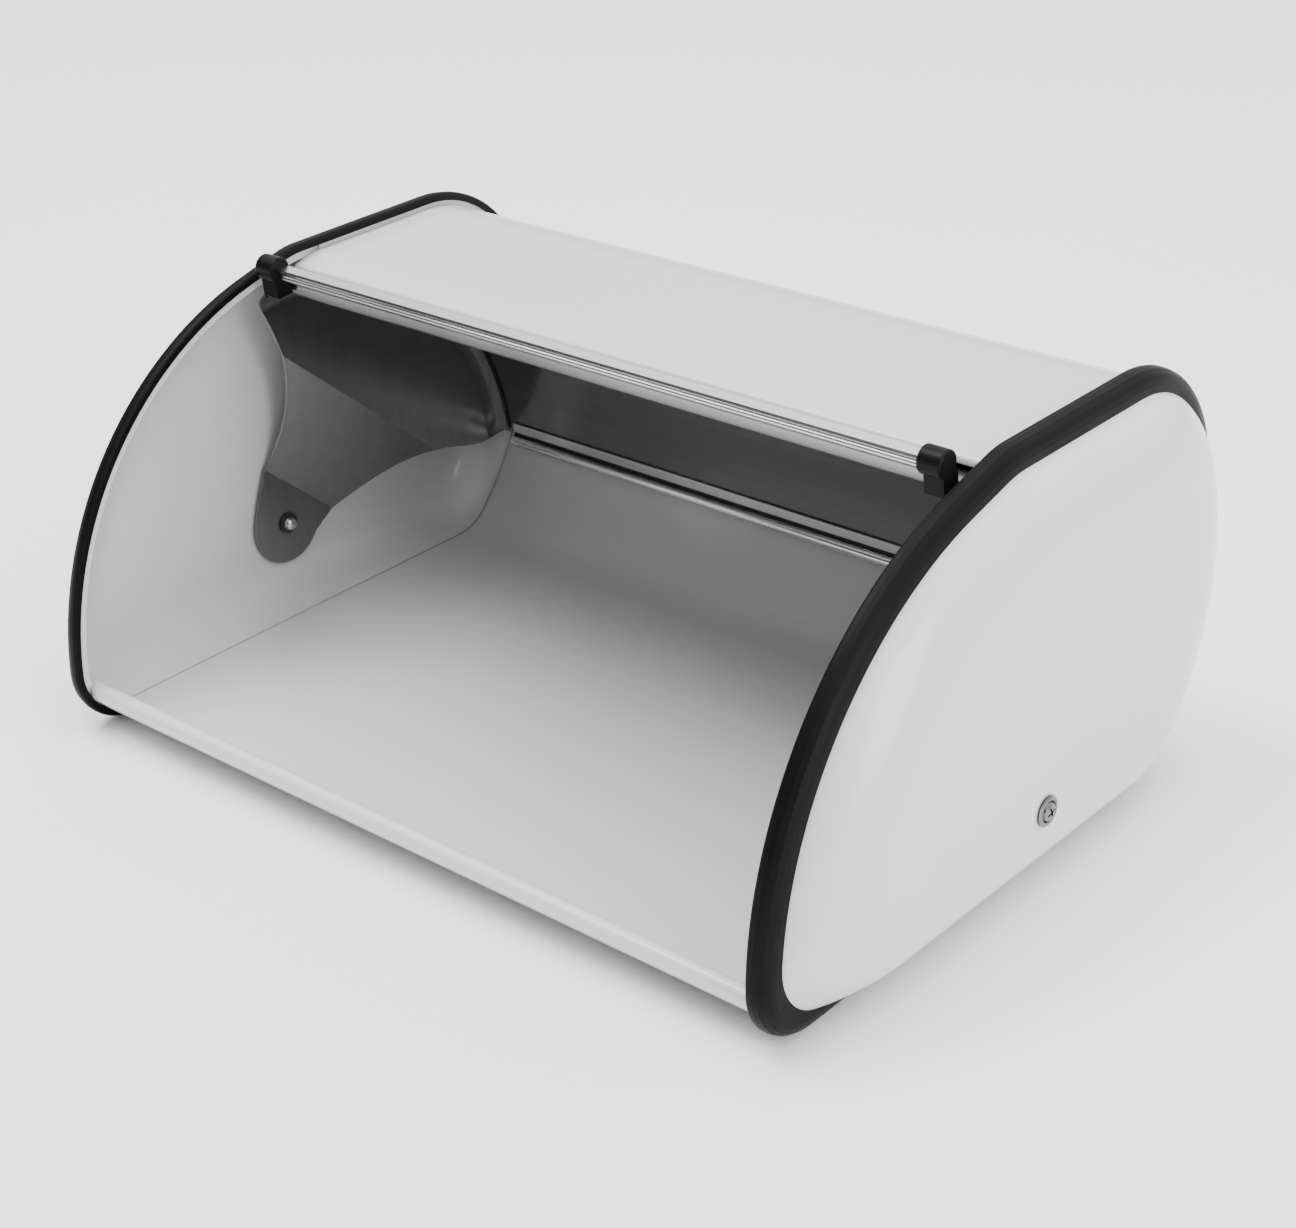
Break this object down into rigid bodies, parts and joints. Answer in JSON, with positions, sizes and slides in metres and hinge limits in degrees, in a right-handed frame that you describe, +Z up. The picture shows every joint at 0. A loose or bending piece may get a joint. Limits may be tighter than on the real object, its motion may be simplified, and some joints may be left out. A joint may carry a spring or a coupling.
{
  "type": "bread box",
  "caption": "Roll-top bread box: a wrapped white sheet body between domed side panels, black edge trims, and a curved steel lid that swings up on side arms and parks under the top.",
  "frame": {"origin": "middle of the box's outline, on the surface it stands on", "axes": "+X along the lid's pivot axis from left to right, +Y towards the back wall, +Z up; the opening faces -Y"},
  "size_m": [0.4418, 0.3, 0.19],
  "materials": {
    "white_enamel": "smooth glossy white powder coat",
    "black_trim": "satin black extruded edging",
    "black_plastic": "satin black moulded plastic",
    "bright_aluminium": "bright drawn aluminium extrusion",
    "lid_steel": "glossy fine-brushed stainless sheet",
    "bright_steel": "nickel-plated fasteners",
    "nylon": "plain moulded nylon",
    "seal_rubber": "soft black strip"
  },
  "bodies": {
    "box": {"body_shell": "white_enamel", "front_rail": "white_enamel", "side_panel_left": "white_enamel", "side_panel_right": "white_enamel", "edge_trim_left": "black_trim", "edge_trim_right": "black_trim", "pivot_screw_left": "bright_steel", "pivot_screw_right": "bright_steel", "pivot_cup_washer_left": "bright_steel", "pivot_cup_washer_right": "bright_steel", "pivot_bush_left": "nylon", "pivot_bush_right": "nylon", "pivot_washer_left": "bright_steel", "pivot_washer_right": "bright_steel", "pivot_nut_left": "bright_steel", "pivot_nut_right": "bright_steel"},
    "lid": {"lid_sheet": "lid_steel", "handle_rail": "bright_aluminium", "handle_cap_left": "black_plastic", "handle_cap_right": "black_plastic", "rear_rail": "bright_aluminium", "rear_seal": "seal_rubber", "lid_arm_left": "lid_steel", "lid_arm_right": "lid_steel"}
  },
  "joints": [
    {"name": "lid_hinge", "type": "hinge", "parent": "box", "child": "lid", "pos_m": [0, -0.00226, 0.042], "axis": [1, 0, 0], "range_deg": [0, 88]}
  ]
}
